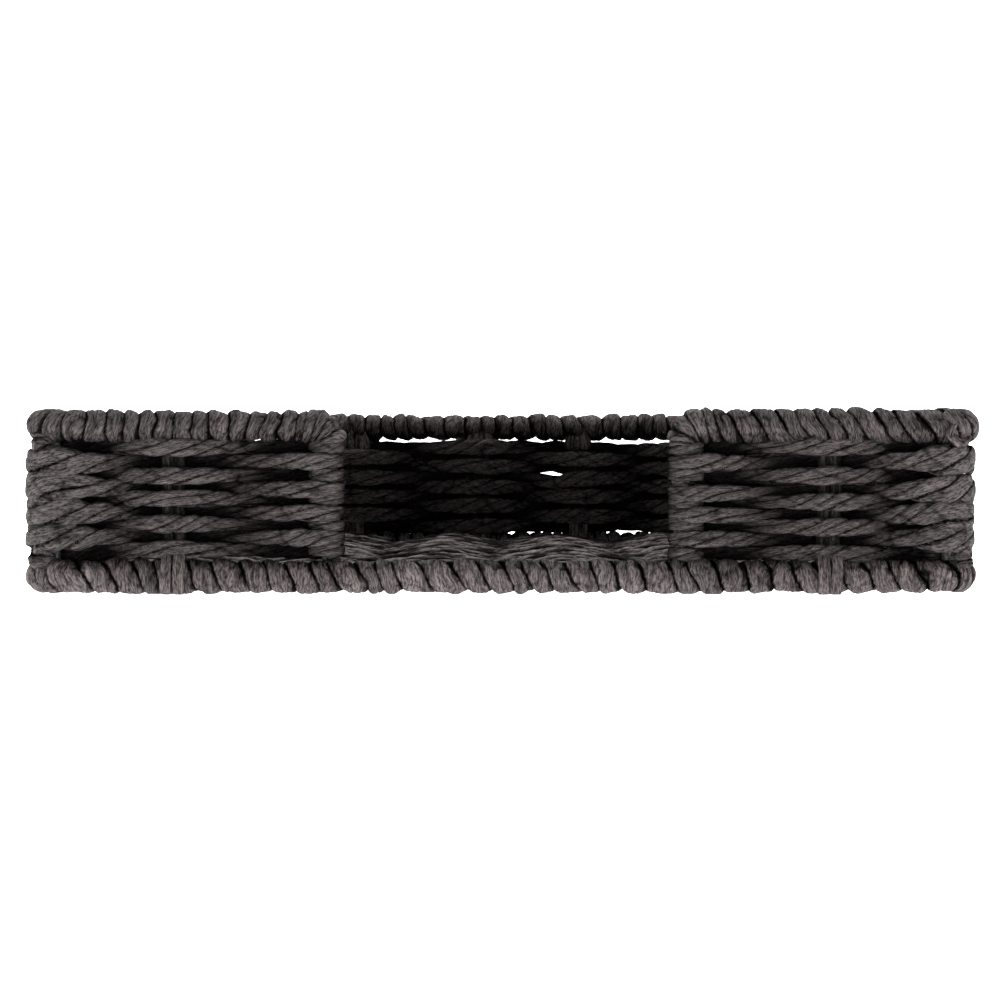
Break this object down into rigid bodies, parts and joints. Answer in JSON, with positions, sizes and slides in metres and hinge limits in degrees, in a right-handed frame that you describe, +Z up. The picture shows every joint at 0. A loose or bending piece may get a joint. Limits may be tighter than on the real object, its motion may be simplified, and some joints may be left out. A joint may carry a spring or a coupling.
{
  "type": "napkin tray",
  "caption": "Flat square woven tray for paper napkins: dark paper rope over a wrapped wire frame, open on top, with a gap for the hand in the front wall.",
  "frame": {"origin": "middle of the underside, on the surface that the tray stands on", "axes": "+Z up, -Y towards the front with the hand gap, +X to the right seen from the front"},
  "size_m": [0.2004, 0.2004, 0.038],
  "materials": {
    "paper_rope": "twisted paper rope, matt, dark warm grey",
    "paper_strip": "crinkled paper strip wound on slantwise, matt, dark warm grey",
    "stake_paper": "flat paper strands, matt, dark warm grey",
    "frame_wire": "dark coated steel wire, satin"
  },
  "bodies": {
    "root": {"bottom_rim_wire": "frame_wire", "top_rim_wire": "frame_wire", "corner_post_front_left": "frame_wire", "corner_post_back_left": "frame_wire", "corner_post_back_right": "frame_wire", "corner_post_front_right": "frame_wire", "top_rim_wrap": "paper_strip", "bottom_rim_wrap": "paper_strip", "front_stake_1": "stake_paper", "front_stake_2": "stake_paper", "left_stake_1": "stake_paper", "left_stake_2": "stake_paper", "left_stake_3": "stake_paper", "left_stake_4": "stake_paper", "left_stake_5": "stake_paper", "left_stake_6": "stake_paper", "back_stake_1": "stake_paper", "back_stake_2": "stake_paper", "back_stake_3": "stake_paper", "back_stake_4": "stake_paper", "back_stake_5": "stake_paper", "back_stake_6": "stake_paper", "right_stake_1": "stake_paper", "right_stake_2": "stake_paper", "right_stake_3": "stake_paper", "right_stake_4": "stake_paper", "right_stake_5": "stake_paper", "floor_stake_1": "stake_paper", "floor_stake_2": "stake_paper", "floor_stake_3": "stake_paper", "floor_stake_4": "stake_paper", "floor_stake_5": "stake_paper", "floor_stake_6": "stake_paper", "wall_weaver_1": "paper_rope", "wall_weaver_2": "paper_rope", "wall_weaver_3": "paper_rope", "wall_weaver_4": "paper_rope", "wall_weaver_5": "paper_rope", "wall_weaver_6": "paper_rope", "wall_weaver_7": "paper_rope", "wall_weaver_8": "paper_rope", "wall_weaver_9": "paper_rope", "floor_weaver_1": "paper_rope", "floor_weaver_2": "paper_rope", "floor_weaver_3": "paper_rope", "floor_weaver_4": "paper_rope", "floor_weaver_5": "paper_rope"}
  },
  "joints": []
}
